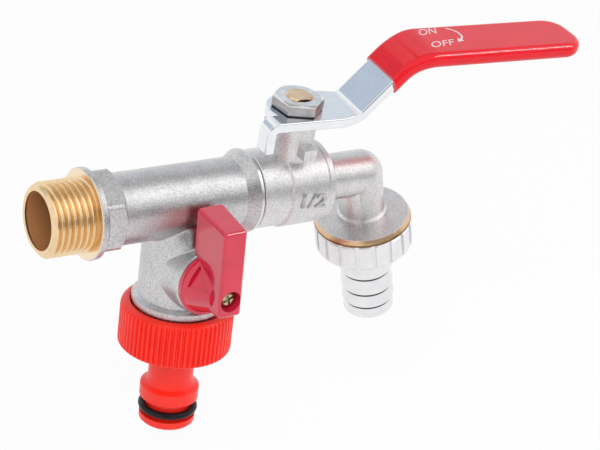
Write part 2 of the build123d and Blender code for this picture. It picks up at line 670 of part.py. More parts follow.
# Hose connector: ribbed grip and quick-fit plug in one moulding, with its washer and ring
grip_blank = turned([(grip_top, 0), (grip_top, grip_radius), (grip_end, grip_radius), (grip_end, 0)])
grip_blank = fillet(grip_blank.edges().group_by(Axis.Z)[0], grip_round)
grip_blank = fillet(grip_blank.edges().group_by(Axis.Z)[-1], grip_end_round)
grip = ribbed(grip_ribs, grip_radius, grip_root, grip_top, grip_end) & grip_blank
tap_connector = grip + turned([
    (grip_floor, 0), (grip_floor, plug_root_radius), (grip_end, plug_root_radius),
    (grip_end + plug_root_length, plug_root_radius - plug_root_draft),
    (grip_end + plug_root_length, plug_neck_radius),
    (plug_neck_end, plug_neck_radius), (plug_shoulder_start, plug_shoulder_radius),
    (plug_head_start, plug_head_radius), (plug_head_end, plug_head_radius),
    (plug_head_end, plug_groove_radius), (plug_groove_end, plug_groove_radius),
    (plug_groove_end, plug_end_radius), (plug_end - plug_end_chamfer, plug_end_radius),
    (plug_end, plug_end_radius - plug_end_chamfer), (plug_end, 0)])
tap_connector -= turned([
    (grip_top - 1, 0), (grip_top - 1, grip_socket_radius + grip_socket_lead),
    (grip_top + grip_socket_lead, grip_socket_radius + grip_socket_lead),
    (grip_top + 2 * grip_socket_lead, grip_socket_radius), (grip_floor, grip_socket_radius),
    (grip_floor, plug_bore_radius), (plug_end + 1, plug_bore_radius), (plug_end + 1, 0)])
tap_connector = inlet_half * branch_axis * tap_connector
connector_washer = inlet_half * branch_axis * turned([
    (branch_end, connector_washer_bore), (branch_end, grip_socket_radius - connector_washer_clearance),
    (grip_floor, grip_socket_radius - connector_washer_clearance), (grip_floor, connector_washer_bore)])
ring_level = (plug_head_end + plug_groove_end) / 2 + plug_ring_offset
connector_ring = inlet_half * branch_axis * Pos(0, 0, ring_level) * Torus(
    plug_groove_radius + plug_ring_section, plug_ring_section)

# Union nut, washer and barbed hose tail under the spout
union_nut = turned([
    (union_top, 0), (union_top, union_radius - union_top_edge), (union_top + union_top_edge, union_radius),
    (union_end - union_end_round, union_radius), (union_end - union_end_edge, union_radius - union_end_edge),
    (union_end, union_radius - union_end_round), (union_end, 0)])
grip_groove = Pos(union_radius, 0, union_end) * Box(
    2 * union_groove_depth, union_groove_width, 2 * union_end)
for number in range(union_grooves):
    union_nut -= Rot(0, 0, union_groove_turn + number * 360 / union_grooves) * grip_groove
union_nut -= turned([
    (union_top - 1, 0), (union_top - 1, union_socket_radius), (union_lip, union_socket_radius),
    (union_lip, union_hole_radius), (union_end + 1, union_hole_radius), (union_end + 1, 0)])
union_nut = spout_axis * union_nut
tail_flange_top = spout_end + union_washer_thickness
union_washer = spout_axis * turned([
    (spout_end, spout_mouth_radius), (spout_end, tail_flange_radius), (tail_flange_top, tail_flange_radius),
    (tail_flange_top, spout_mouth_radius)])
tail_points = [(tail_flange_top, tail_bore_radius), (tail_flange_top, tail_flange_radius),
               (union_lip, tail_flange_radius), (union_lip, tail_radius)]
for level in tail_barbs:
    tail_points += [(level - tail_barb_land, tail_barb_radius), (level, tail_barb_radius),
                    (level, tail_root_radius), (level + tail_barb_undercut, tail_root_radius)]
tail_points += [(tail_end - tail_end_chamfer, tail_radius), (tail_end, tail_radius - tail_end_chamfer),
                (tail_end, tail_bore_radius)]
hose_tail = spout_axis * turned(tail_points)

nodes = {
    "inlet_body": inlet_body,
    "spout_body": spout_body,
    "body_joint_seal": body_joint_seal,
    "main_seat_inlet": main_seat_inlet,
    "main_seat_outlet": main_seat_outlet,
    "main_ball": main_ball,
    "main_stem": main_stem,
    "main_thrust_washer": main_thrust_washer,
    "main_stem_ring_lower": main_stem_ring_lower,
    "main_stem_ring_upper": main_stem_ring_upper,
    "main_lever": main_lever,
    "lever_sleeve": lever_sleeve,
    "lever_nut": lever_nut,
    "side_ball": side_ball,
    "side_seat_upper": side_seat_upper,
    "side_seat_lower": side_seat_lower,
    "side_seat_retainer": side_seat_retainer,
    "side_stem": side_stem,
    "side_thrust_washer": side_thrust_washer,
    "side_stem_ring": side_stem_ring,
    "side_handle": side_handle,
    "side_handle_screw": side_handle_screw,
    "tap_connector": tap_connector,
    "connector_washer": connector_washer,
    "connector_ring": connector_ring,
    "union_nut": union_nut,
    "union_washer": union_washer,
    "hose_tail": hose_tail,
}
for name, solid in nodes.items():
    export_step(solid, f"parts/{name}.step")
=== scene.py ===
import json
import math
import bpy
from mathutils import Matrix, Vector

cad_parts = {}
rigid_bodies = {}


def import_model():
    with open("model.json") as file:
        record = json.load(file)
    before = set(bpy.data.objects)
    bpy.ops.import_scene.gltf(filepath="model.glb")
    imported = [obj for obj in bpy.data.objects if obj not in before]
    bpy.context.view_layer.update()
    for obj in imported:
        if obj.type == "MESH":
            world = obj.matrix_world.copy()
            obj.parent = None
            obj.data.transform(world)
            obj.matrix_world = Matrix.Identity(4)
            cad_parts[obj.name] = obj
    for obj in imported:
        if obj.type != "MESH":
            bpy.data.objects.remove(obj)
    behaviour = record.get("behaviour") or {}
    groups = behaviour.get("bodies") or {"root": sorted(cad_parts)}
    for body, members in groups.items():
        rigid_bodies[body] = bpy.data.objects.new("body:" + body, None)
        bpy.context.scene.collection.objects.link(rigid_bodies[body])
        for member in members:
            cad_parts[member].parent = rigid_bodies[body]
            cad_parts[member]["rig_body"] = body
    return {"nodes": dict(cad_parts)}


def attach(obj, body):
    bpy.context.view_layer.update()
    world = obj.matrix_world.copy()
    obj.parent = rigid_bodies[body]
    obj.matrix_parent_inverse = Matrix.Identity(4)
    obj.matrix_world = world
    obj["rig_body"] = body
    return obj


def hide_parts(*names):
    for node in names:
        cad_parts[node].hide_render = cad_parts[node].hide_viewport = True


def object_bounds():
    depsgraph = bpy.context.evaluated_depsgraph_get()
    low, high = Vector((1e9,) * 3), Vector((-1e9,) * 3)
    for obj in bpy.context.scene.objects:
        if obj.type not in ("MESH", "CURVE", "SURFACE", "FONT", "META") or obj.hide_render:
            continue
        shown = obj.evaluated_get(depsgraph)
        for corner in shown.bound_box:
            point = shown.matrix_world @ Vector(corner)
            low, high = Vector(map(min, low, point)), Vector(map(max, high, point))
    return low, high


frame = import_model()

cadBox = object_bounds()
nodes = frame["nodes"]
scene = bpy.context.scene
print("frame loaded:", len(nodes), "CAD nodes")

# where the lever's and the spout's own axes run, in metres and degrees
tapAxes = {"stemAt": 0.0646, "leverYaw": 4.2, "spoutAt": 0.0914, "spoutLean": 16.2}
leverTurn = Matrix.Rotation(math.radians(-tapAxes["leverYaw"]), 4, "Z")
leverFrame = Matrix.Translation((tapAxes["stemAt"], 0, 0)) @ leverTurn
spoutTurn = Matrix.Rotation(math.radians(180 - tapAxes["spoutLean"]), 4, "Y")
spoutFrame = Matrix.Translation((tapAxes["spoutAt"], 0, 0)) @ spoutTurn


# camera at the photograph's angle; the focal length is in pixels of the picture's width
cameraSetup = {"azimuth": 37.31, "elevation": 29.13, "roll": 10.93, "distance": 0.57805,
               "focalPixels": 1968.19, "pictureWide": 600.0, "sensorWide": 36.0, "clip": (0.01, 20.0),
               "aim": (0.07354, 0.0, -0.01525)}

def placeCamera(setup):
    a, e, r = (math.radians(setup[k]) for k in ("azimuth", "elevation", "roll"))
    back = Vector((-math.sin(a) * math.cos(e), -math.cos(a) * math.cos(e), math.sin(e)))
    right = Vector((math.cos(a), -math.sin(a), 0))
    up = back.cross(right)
    side = right * math.cos(r) + up * math.sin(r)
    head = up * math.cos(r) - right * math.sin(r)
    spot = Vector(setup["aim"]) + back * setup["distance"]
    cam = bpy.data.cameras.new("photoCamera")
    cam.sensor_width = setup["sensorWide"]
    cam.lens = setup["focalPixels"] * setup["sensorWide"] / setup["pictureWide"]
    cam.clip_start, cam.clip_end = setup["clip"]
    obj = bpy.data.objects.new("photoCamera", cam)
    scene.collection.objects.link(obj)
    turn = Matrix((side, head, back)).transposed().to_4x4()
    obj.matrix_world = Matrix.Translation(spot) @ turn
    scene.camera = obj

placeCamera(cameraSetup)
print("camera placed")


# helpers for modelling; points nearer than these gaps are welded
weld = {"fine": 0.000002, "coarse": 0.000004}

def onlyThis(obj):
    bpy.ops.object.select_all(action="DESELECT")
    obj.select_set(True)
    bpy.context.view_layer.objects.active = obj

def editAll(obj):
    onlyThis(obj)
    bpy.ops.object.mode_set(mode="EDIT")
    bpy.ops.mesh.select_all(action="SELECT")

def backToObject():
    bpy.ops.object.mode_set(mode="OBJECT")

def applyModifiers(obj):
    onlyThis(obj)
    for mod in list(obj.modifiers):
        bpy.ops.object.modifier_apply(modifier=mod.name)

def drawChain(name, points, seed=0.001):
    bpy.ops.object.select_all(action="DESELECT")
    bpy.ops.mesh.primitive_plane_add(size=seed, location=(0, 0, 0))
    obj = bpy.context.object
    obj.name = obj.data.name = name
    editAll(obj)
    bpy.ops.mesh.merge(type="CENTER")
    bpy.ops.mesh.select_all(action="SELECT")
    bpy.ops.transform.translate(value=points[0])
    for here, there in zip(points, points[1:]):
        step = Vector(there) - Vector(here)
        bpy.ops.mesh.extrude_vertices_move(TRANSFORM_OT_translate={"value": step})
    backToObject()
    return obj

def tidyNormals(obj):
    editAll(obj)
    bpy.ops.mesh.remove_doubles(threshold=weld["fine"])
    bpy.ops.mesh.normals_make_consistent(inside=False)
    backToObject()

def smoothByAngle(obj, degrees):
    onlyThis(obj)
    bpy.ops.object.shade_smooth_by_angle(angle=math.radians(degrees))

def weighNormals(obj):
    # broad faces keep their own normals and the bevels turn between them
    mod = obj.modifiers.new("faceWeight", "WEIGHTED_NORMAL")
    mod.keep_sharp = True
    applyModifiers(obj)

def copyNode(node, name):
    obj = nodes[node].copy()
    obj.data = nodes[node].data.copy()
    obj.name = obj.data.name = name
    for key in list(obj.keys()):
        del obj[key]
    obj.parent = None
    obj.matrix_world = Matrix.Identity(4)
    scene.collection.objects.link(obj)
    onlyThis(obj)
    bpy.ops.mesh.customdata_custom_splitnormals_clear()
    editAll(obj)
    bpy.ops.mesh.remove_doubles(threshold=weld["coarse"])
    backToObject()
    return obj

def standIn(obj, node):
    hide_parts(node)
    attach(obj, nodes[node]["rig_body"])

def cutAway(obj, spot, normal):
    editAll(obj)
    bpy.ops.mesh.bisect(plane_co=spot, plane_no=normal, use_fill=True, clear_outer=True)
    backToObject()

def booleanWith(obj, tool, kind):
    mod = obj.modifiers.new("cut", "BOOLEAN")
    mod.operation, mod.object, mod.solver = kind, tool, "EXACT"
    applyModifiers(obj)
    bpy.data.objects.remove(tool)

def closeHoles(obj, sides):
    onlyThis(obj)
    bpy.ops.object.mode_set(mode="EDIT")
    bpy.ops.mesh.select_mode(type="VERT")
    bpy.ops.mesh.select_all(action="DESELECT")
    bpy.ops.mesh.select_non_manifold(extend=False, use_wire=False, use_multi_face=False,
                                     use_non_contiguous=False, use_verts=False)
    bpy.ops.mesh.fill_holes(sides=sides)
    backToObject()

def softenEdges(obj, width, angle, segments=2, flatWithin=0.4):
    editAll(obj)
    bpy.ops.mesh.dissolve_limited(angle_limit=math.radians(flatWithin))
    backToObject()
    mod = obj.modifiers.new("softEdges", "BEVEL")
    mod.width, mod.segments = width, segments
    mod.limit_method, mod.angle_limit = "ANGLE", math.radians(angle)
    applyModifiers(obj)

def joinPieces(keep, *others):
    onlyThis(keep)
    for other in others:
        other.select_set(True)
    bpy.ops.object.join()
    return keep

def addRod(sides, radius, length, middle):
    # cylinder along X
    bpy.ops.object.select_all(action="DESELECT")
    bpy.ops.mesh.primitive_cylinder_add(vertices=sides, radius=radius, depth=length,
                                        location=(middle, 0, 0), rotation=(0, math.pi / 2, 0))
    rod = bpy.context.object
    bpy.ops.object.transform_apply(location=True, rotation=True, scale=True)
    return rod


# inlet casting with a real helical thread in place of the plain crest cylinder
inletThread = {"start": -0.013, "end": 0.0002, "crest": 0.01046, "root": 0.00932, "pitch": 0.001814,
               "lead": 2.37, "turnsOver": 5, "crestRound": 0.00012, "steps": 96, "holeSides": 12,
               "chamfer": 0.0011, "outside": 0.0006, "past": 0.0002, "chamferReach": 0.0005,
               "bore": 0.00815, "boreLength": 0.05, "boreMiddle": -0.005,
               "plainLength": 0.04, "plainGap": 0.00002,
               "sides": {"envelope": 160, "drill": 128, "plain": 48},
               "edge": 0.00018, "edgeAngle": 40, "smooth": 28}

def makeInletCasting(setup):
    p, crest, root = setup["pitch"], setup["crest"], setup["root"]
    start, end, sides = setup["start"], setup["end"], setup["sides"]
    # one tooth, as shares of the pitch and the radius there
    shoulder = crest - setup["crestRound"]
    tooth = [(0.0, root), (0.10, root), (0.36, shoulder), (0.42, crest),
             (0.58, crest), (0.64, shoulder), (0.90, root), (1.0, root)]
    first = start - setup["lead"] * p
    thread = drawChain("inletThread", [(first + p * share, 0, radius) for share, radius in tooth])
    screw = thread.modifiers.new("helix", "SCREW")
    screw.axis, screw.angle, screw.screw_offset = "X", math.tau, p
    screw.iterations = int(-start / p) + setup["turnsOver"]
    screw.steps = screw.render_steps = setup["steps"]
    screw.use_merge_vertices, screw.merge_threshold = True, weld["coarse"]
    applyModifiers(thread)
    tidyNormals(thread)
    cutAway(thread, (end, 0, 0), (1, 0, 0))
    cutAway(thread, (start, 0, 0), (-1, 0, 0))
    tidyNormals(thread)
    # lead-in chamfer, then the bore
    envelope = addRod(sides["envelope"], crest + setup["outside"], end - start + 2 * setup["past"],
                      (end + start) / 2 + setup["past"])
    bpy.ops.object.mode_set(mode="EDIT")
    bpy.ops.mesh.select_mode(type="EDGE")
    bpy.ops.mesh.select_all(action="DESELECT")
    backToObject()
    corners = envelope.data.vertices
    for edge in envelope.data.edges:
        edge.select = all(corners[v].co.x < start + setup["chamferReach"] for v in edge.vertices)
    bpy.ops.object.mode_set(mode="EDIT")
    bpy.ops.mesh.bevel(offset=setup["chamfer"] + setup["outside"], segments=1, affect="EDGES")
    backToObject()
    booleanWith(thread, envelope, "INTERSECT")
    drill = addRod(sides["drill"], setup["bore"], setup["boreLength"], setup["boreMiddle"])
    booleanWith(thread, drill, "DIFFERENCE")
    closeHoles(thread, setup["holeSides"])
    body = copyNode("inlet_body", "inletCasting")
    plainEnd = addRod(sides["plain"], 2 * crest, setup["plainLength"],
                      -setup["plainLength"] / 2 - setup["plainGap"])
    booleanWith(body, plainEnd, "DIFFERENCE")
    softenEdges(body, setup["edge"], setup["edgeAngle"])
    joinPieces(body, thread)
    smoothByAngle(body, setup["smooth"])
    weighNormals(body)
    standIn(body, "inlet_body")
    return body

inletCasting = makeInletCasting(inletThread)
print("inlet casting threaded")


# pieces whose edges are broken a little, each a merged copy of its solid
softPieces = {
    "spoutCasting": {"node": "spout_body", "edge": 0.00018, "angle": 40, "slot": "nickel_plated_brass"},
    "leverPlate": {"node": "main_lever", "edge": 0.00090, "segments": 5, "angle": 40,
                   "slot": "zinc_plated_steel"},
    "hoseConnector": {"node": "tap_connector", "edge": 0.00014, "angle": 30, "slot": "red_plastic"},
    "unionNut": {"node": "union_nut", "edge": 0.00012, "angle": 30, "slot": "bright_nickel"},
    "hoseTail": {"node": "hose_tail", "edge": 0.00012, "angle": 30, "slot": "bright_nickel"},
    "handleScrew": {"node": "side_handle_screw", "edge": 0.00008, "angle": 30, "slot": "yellow_zinc"},
}

softSmooth = 38

def makeSoftPiece(name, setup):
    piece = copyNode(setup["node"], name)
    softenEdges(piece, setup["edge"], setup["angle"], setup.get("segments", 2))
    smoothByAngle(piece, softSmooth)
    weighNormals(piece)
    standIn(piece, setup["node"])
    return piece

pieces = {name: makeSoftPiece(name, setup) for name, setup in softPieces.items()}
pieces["inletCasting"] = inletCasting
print("edges softened:", len(softPieces), "pieces")


# words and arrow printed on the sleeve; places are along and across the lever
sleevePrint = {"top": 0.0432, "proud": 0.00001, "flatFrom": 0.0395, "crest": 0.01695,
               "flatHalf": 0.00735, "edgeRound": 0.0019, "slice": 0.0003, "slices": 7,
               "slant": 0.46, "climb": 0.10,
               "words": {"ON": ((0.0385, 0.0032), (0.0448, 0.00695)),
                         "OFF": ((0.0381, -0.0046), (0.0463, -0.00115))},
               "arrow": {"start": (0.0495, 0.0066), "middle": (0.0520, 0.0028), "end": (0.0503, -0.0008),
                         "width": 0.0006, "headLength": 0.0024, "headWidth": 0.0022, "steps": 24}}

def flatWord(text, thickness, bold=0.0, curveSteps=6):
    bpy.ops.object.select_all(action="DESELECT")
    bpy.ops.object.text_add(location=(0, 0, 0))
    word = bpy.context.object
    word.data.body = text
    word.data.extrude = thickness
    word.data.offset = bold
    word.data.resolution_u = curveSteps
    bpy.ops.object.convert(target="MESH")
    word = bpy.context.object
    tidyNormals(word)
    return word

def fitInto(obj, low, high):
    xs = [v.co.x for v in obj.data.vertices]
    ys = [v.co.y for v in obj.data.vertices]
    wide, tall = max(xs) - min(xs), max(ys) - min(ys)
    sx, sy = (high[0] - low[0]) / wide, (high[1] - low[1]) / tall
    shift = Matrix.Translation((low[0] - min(xs) * sx, low[1] - min(ys) * sy, 0))
    obj.data.transform(shift @ Matrix.Diagonal((sx, sy, 1, 1)))

def arcThrough(a, b, c):
    # centre of the circle through three points
    (ax, ay), (bx, by), (cx, cy) = a, b, c
    d = 2 * (ax * (by - cy) + bx * (cy - ay) + cx * (ay - by))
    sa, sb, sc = ax * ax + ay * ay, bx * bx + by * by, cx * cx + cy * cy
    return Vector(((sa * (by - cy) + sb * (cy - ay) + sc * (ay - by)) / d,
                   (sa * (cx - bx) + sb * (ax - cx) + sc * (bx - ax)) / d))

def makeArrow(setup, thickness):
    centre = arcThrough(setup["start"], setup["middle"], setup["end"])
    first, last = Vector(setup["start"]) - centre, Vector(setup["end"]) - centre
    sweep = last.angle_signed(first)
    out = first.normalized()
    half = setup["width"] / 2
    inner, outer = centre + first - out * half, centre + first + out * half
    shaft = drawChain("turnArrow", [(inner.x, inner.y, 0), (outer.x, outer.y, 0)])
    editAll(shaft)
    bpy.ops.mesh.spin(steps=setup["steps"], angle=-sweep, center=(centre.x, centre.y, 0), axis=(0, 0, 1))
    backToObject()
    # the head points on along the arc at its last end
    away = last.normalized()
    ahead = Vector((away.y, -away.x)) if sweep < 0 else Vector((-away.y, away.x))
    tip = Vector(setup["end"])
    if (tip - Vector(setup["middle"])).dot(ahead) < 0:
        ahead = -ahead
    reach = away * setup["headWidth"] / 2
    corners = [tip + reach, tip - reach, tip + ahead * setup["headLength"]]
    head = drawChain("arrowHead", [(p.x, p.y, 0) for p in corners])
    editAll(head)
    bpy.ops.mesh.edge_face_add()
    backToObject()
    joinPieces(shaft, head)
    solid = shaft.modifiers.new("film", "SOLIDIFY")
    solid.thickness, solid.offset = 2 * thickness, 0
    applyModifiers(shaft)
    tidyNormals(shaft)
    return shaft

def makeSleevePrint(setup):
    words = []
    for text, (low, high) in setup["words"].items():
        word = flatWord(text, setup["proud"])
        fitInto(word, low, high)
        for v in word.data.vertices:
            across, along = v.co.y - low[1], v.co.x - low[0]
            v.co.x += setup["slant"] * across
            v.co.y += setup["climb"] * along
        # sliced so that it can follow the crest and the rounded edge
        for number in range(setup["slices"]):
            step = number * setup["slice"]
            editAll(word)
            bpy.ops.mesh.bisect(plane_co=(0, setup["flatHalf"] + step, 0), plane_no=(0, 1, 0))
            bpy.ops.mesh.select_all(action="SELECT")
            bpy.ops.mesh.bisect(plane_co=(setup["flatFrom"] - step, 0, 0), plane_no=(1, 0, 0))
            backToObject()
        words.append(word)
    whole = joinPieces(makeArrow(setup["arrow"], setup["proud"]), *words)
    whole.name = whole.data.name = "sleevePrint"
    for v in whole.data.vertices:
        back = max(0.0, setup["flatFrom"] - v.co.x)      # the crest falls away before the flat
        over = min(max(0.0, abs(v.co.y) - setup["flatHalf"]), setup["edgeRound"])
        fall = setup["edgeRound"] - math.sqrt(setup["edgeRound"] ** 2 - over * over)
        v.co.z += setup["top"] - back * back / (2 * setup["crest"]) - fall
    whole.data.transform(leverFrame)
    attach(whole, "lever_set")
    return whole

pieces["sleevePrint"] = makeSleevePrint(sleevePrint)
print("sleeve printed")


# size mark cast on the housing, wrapped round its cylinder
castMark = {"text": "1/2", "low": (0.0637, -0.0016), "high": (0.0721, 0.0029), "tilt": -7.0,
            "radius": 0.0120, "height": 0.00052, "sunk": 0.0002, "slices": 7, "bold": 0.018,
            "edge": 0.00009, "edgeAngle": 40, "smooth": 38}

def makeCastMark(setup):
    mark = flatWord(setup["text"], (setup["height"] + setup["sunk"]) / 2, setup["bold"])
    mark.name = mark.data.name = "castMark"
    fitInto(mark, setup["low"], setup["high"])
    middle = Vector((setup["low"][0] + setup["high"][0], setup["low"][1] + setup["high"][1], 0)) / 2
    turn = Matrix.Rotation(math.radians(setup["tilt"]), 4, "Z")
    mark.data.transform(Matrix.Translation(middle) @ turn @ Matrix.Translation(-middle))
    low, high = min(v.co.y for v in mark.data.vertices), max(v.co.y for v in mark.data.vertices)
    for step in range(1, setup["slices"]):
        editAll(mark)
        level = low + (high - low) * step / setup["slices"]
        bpy.ops.mesh.bisect(plane_co=(0, level, 0), plane_no=(0, 1, 0))
        backToObject()
    softenEdges(mark, setup["edge"], setup["edgeAngle"])
    for v in mark.data.vertices:
        out = setup["radius"] + v.co.z + (setup["height"] - setup["sunk"]) / 2
        angle = v.co.y / setup["radius"]
        v.co = (v.co.x, -out * math.cos(angle), out * math.sin(angle))
    tidyNormals(mark)
    smoothByAngle(mark, setup["smooth"])
    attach(mark, "tap_body")
    return mark

pieces["castMark"] = makeCastMark(castMark)
print("size mark raised")


# shader groups that several finishes share
def plug(l, sock, value):
    if hasattr(value, "links"):
        l.new(value, sock)
    else:
        sock.default_value = value

def mathNode(n, l, kind, a, b, clamp=False):
    m = n.new("ShaderNodeMath")
    m.operation, m.use_clamp = kind, clamp
    plug(l, m.inputs[0], a)
    plug(l, m.inputs[1], b)
    return m.outputs[0]

def startGroup(name, inputs, outputs):
    tree = bpy.data.node_groups.new(name, "ShaderNodeTree")
    for key, value in inputs.items():
        sock = tree.interface.new_socket(name=key, in_out="INPUT", socket_type="NodeSocketFloat")
        sock.default_value = value
    for key, kind in outputs.items():
        tree.interface.new_socket(name=key, in_out="OUTPUT", socket_type=kind)
    n = tree.nodes
    return tree, n, tree.links, n.new("NodeGroupInput").outputs, n.new("NodeGroupOutput").inputs

grainSetup = {"inputs": {"Scale": 2500.0, "Depth": 0.00003, "Strength": 0.5},
              "outputs": {"Normal": "NodeSocketVector", "Grain": "NodeSocketFloat"},
              "detail": 3.0, "roughness": 0.6}

def makeGrainGroup(setup):
    tree, n, l, given, result = startGroup("surfaceGrain", setup["inputs"], setup["outputs"])
    coord = n.new("ShaderNodeTexCoord")
    noise = n.new("ShaderNodeTexNoise")
    noise.inputs["Detail"].default_value = setup["detail"]
    noise.inputs["Roughness"].default_value = setup["roughness"]
    bump = n.new("ShaderNodeBump")
    l.new(coord.outputs["Object"], noise.inputs["Vector"])
    l.new(given["Scale"], noise.inputs["Scale"])
    l.new(given["Strength"], bump.inputs["Strength"])
    l.new(given["Depth"], bump.inputs["Distance"])
    l.new(noise.outputs["Fac"], bump.inputs["Height"])
    l.new(bump.outputs["Normal"], result["Normal"])
    l.new(noise.outputs["Fac"], result["Grain"])
    return tree

mottleSetup = {"inputs": {"Scale": 120.0, "Low": 0.0, "High": 1.0}, "outputs": {"Value": "NodeSocketFloat"},
               "detail": 4.0, "from": (0.3, 0.7)}

def makeMottleGroup(setup):
    tree, n, l, given, result = startGroup("softMottle", setup["inputs"], setup["outputs"])
    coord = n.new("ShaderNodeTexCoord")
    noise = n.new("ShaderNodeTexNoise")
    noise.inputs["Detail"].default_value = setup["detail"]
    spread = n.new("ShaderNodeMapRange")
    spread.inputs["From Min"].default_value, spread.inputs["From Max"].default_value = setup["from"]
    l.new(coord.outputs["Object"], noise.inputs["Vector"])
    l.new(given["Scale"], noise.inputs["Scale"])
    l.new(noise.outputs["Fac"], spread.inputs["Value"])
    l.new(given["Low"], spread.inputs["To Min"])
    l.new(given["High"], spread.inputs["To Max"])
    l.new(spread.outputs["Result"], result["Value"])
    return tree

bandSetup = {"inputs": {"Distance": 0.0, "From": 0.0, "To": 1.0, "Soft": 0.0001},
             "outputs": {"Mask": "NodeSocketFloat"}, "atEnd": 0.5}

def makeBandGroup(setup):
    # 1 between two places along a measured distance, with soft ends
    tree, n, l, given, result = startGroup("bandMask", setup["inputs"], setup["outputs"])
    inside = []
    for high, low in (("Distance", "From"), ("To", "Distance")):
        gap = mathNode(n, l, "SUBTRACT", given[high], given[low])
        inside.append(mathNode(n, l, "DIVIDE", gap, given["Soft"]))
    nearer = mathNode(n, l, "MINIMUM", *inside)
    l.new(mathNode(n, l, "ADD", nearer, setup["atEnd"], clamp=True), result["Mask"])
    return tree

grainGroup = makeGrainGroup(grainSetup)
mottleGroup = makeMottleGroup(mottleSetup)
bandGroup = makeBandGroup(bandSetup)

class Finish:
    # one material being wired up
    def __init__(self, name):
        self.mat = bpy.data.materials.new(name)
        self.mat.use_nodes = True
        self.n, self.l = self.mat.node_tree.nodes, self.mat.node_tree.links
        self.skin = self.n["Principled BSDF"]

    def put(self, node, socket, value):
        plug(self.l, node.inputs[socket], value)

    def set(self, **values):
        for key, value in values.items():
            self.put(self.skin, key.replace("_", " "), value)

    def group(self, tree, **values):
        node = self.n.new("ShaderNodeGroup")
        node.node_tree = tree
        for key, value in values.items():
            self.put(node, key, value)
        return node

    def grain(self, scale, depth, strength):
        # normal, then the grain's own value
        return self.group(grainGroup, Scale=scale, Depth=depth, Strength=strength).outputs

    def mottle(self, scale, high=1.0):
        return self.group(mottleGroup, Scale=scale, High=high).outputs[0]

    def band(self, distance, place):
        start, end, soft = place
        return self.group(bandGroup, Distance=distance, From=start, To=end, Soft=soft).outputs[0]

    def objectPlace(self, frameMatrix=None):
        coord = self.n.new("ShaderNodeTexCoord").outputs["Object"]
        if frameMatrix is not None:
            mapping = self.n.new("ShaderNodeMapping")
            mapping.vector_type = "TEXTURE"
            mapping.inputs["Location"].default_value = frameMatrix.to_translation()
            mapping.inputs["Rotation"].default_value = frameMatrix.to_euler()
            self.l.new(coord, mapping.inputs["Vector"])
            coord = mapping.outputs["Vector"]
        parts = self.n.new("ShaderNodeSeparateXYZ")
        self.l.new(coord, parts.inputs[0])
        return parts.outputs

    def math(self, kind, a, b=0.0):
        return mathNode(self.n, self.l, kind, a, b)

    def radius(self, a, b):
        squares = self.math("ADD", self.math("MULTIPLY", a, a), self.math("MULTIPLY", b, b))
        return self.math("SQRT", squares)

    def mix(self, mask, a, b):
        m = self.n.new("ShaderNodeMix")
        m.data_type = "RGBA"
        self.put(m, 0, mask)
        for index, value in ((6, a), (7, b)):
            if not hasattr(value, "links"):
                value = (*value, 1.0)
            self.put(m, index, value)
        return m.outputs[2]

    def blendValue(self, mask, a, b):
        m = self.n.new("ShaderNodeMix")
        m.data_type = "FLOAT"
        for index, value in ((0, mask), (2, a), (3, b)):
            self.put(m, index, value)
        return m.outputs[0]

    def roughness(self, value, rough, spread):
        return self.blendValue(value, rough * spread[0], rough * spread[1])


# cast and plated finishes; a band says where it starts and ends and how soft its ends are, in metres
castNickel = {"light": (0.78, 0.77, 0.775), "dark": (0.46, 0.45, 0.46), "ring": (0.80, 0.795, 0.80),
              "brass": (0.93, 0.70, 0.43), "brassDark": (0.80, 0.57, 0.32),
              # painted highlight: a lighter brass for the inlet flange's front face
              # painted shade: the dark brown rim colour is for the lower part of the spout's brass rim
              "bore": (0.50, 0.235, 0.095), "face": (0.95, 0.79, 0.57), "rimUnderShade": (0.22, 0.12, 0.05),
              "grain": 1900.0, "grainDepth": 0.00011, "grainStrength": 0.75, "turnedStrength": 0.10,
              "rough": (0.24, 0.40), "turnedRough": 0.27, "mottle": 170.0, "mottleShare": 0.30,
              "fleck": 2000.0, "fleckShare": 0.80, "wear": 450.0, "wearShare": 0.6, "boreBare": 0.85}
# painted highlight: the flange's brass front face is coloured lighter than the thread's brass
inletBands = {"brass": (-0.05, 0.00015, 0.0002), "face": (-0.0004, 0.01, 0.0002),
              "boreRound": (-0.01, 0.00835, 0.0001), "boreLong": (-0.0123, 0.06, 0.0004),
              "ring": (0.0503, 0.06, 0.0003)}
# painted light: the spout's nickel is a lighter copy of the inlet's
litSpoutNickel = dict(castNickel, light=(0.92, 0.905, 0.90), dark=(0.60, 0.59, 0.595), rough=(0.30, 0.47),
                   brass=(0.82, 0.55, 0.33), brassDark=(0.66, 0.42, 0.24))
# painted shade: a dark brown band on the lower part of the spout's brass rim
spoutBands = {"rimLong": (0.01505, 0.0172, 0.0001), "rimRound": (0.01365, 0.03, 0.0002),
              "under": (0.0163, 0.03, 0.0003),
              "ringFar": (0.0751, 0.0762, 0.0003), "ringNear": (0.050, 0.0522, 0.0003)}

def castSkin(f, look, turned, metal, bare=0.0):
    # cast grain everywhere but on the turned or bare places
    normal, grain = f.grain(look["grain"], look["grainDepth"],
                            f.blendValue(turned, look["grainStrength"], look["turnedStrength"]))
    cast = f.blendValue(grain, *look["rough"])
    f.set(Base_Color=metal, Metallic=f.math("SUBTRACT", 1.0, bare), Normal=normal,
          Roughness=f.blendValue(turned, cast, look["turnedRough"]))
    return f.mat

def castColour(f, look):
    mottle = f.math("MULTIPLY", f.mottle(look["mottle"]), look["mottleShare"])
    fleck = f.math("MULTIPLY", f.mottle(look["fleck"]), look["fleckShare"])
    return f.mix(f.math("ADD", mottle, fleck), look["light"], look["dark"])

def wornBrass(f, look):
    return f.mix(f.mottle(look["wear"], look["wearShare"]), look["brass"], look["brassDark"])

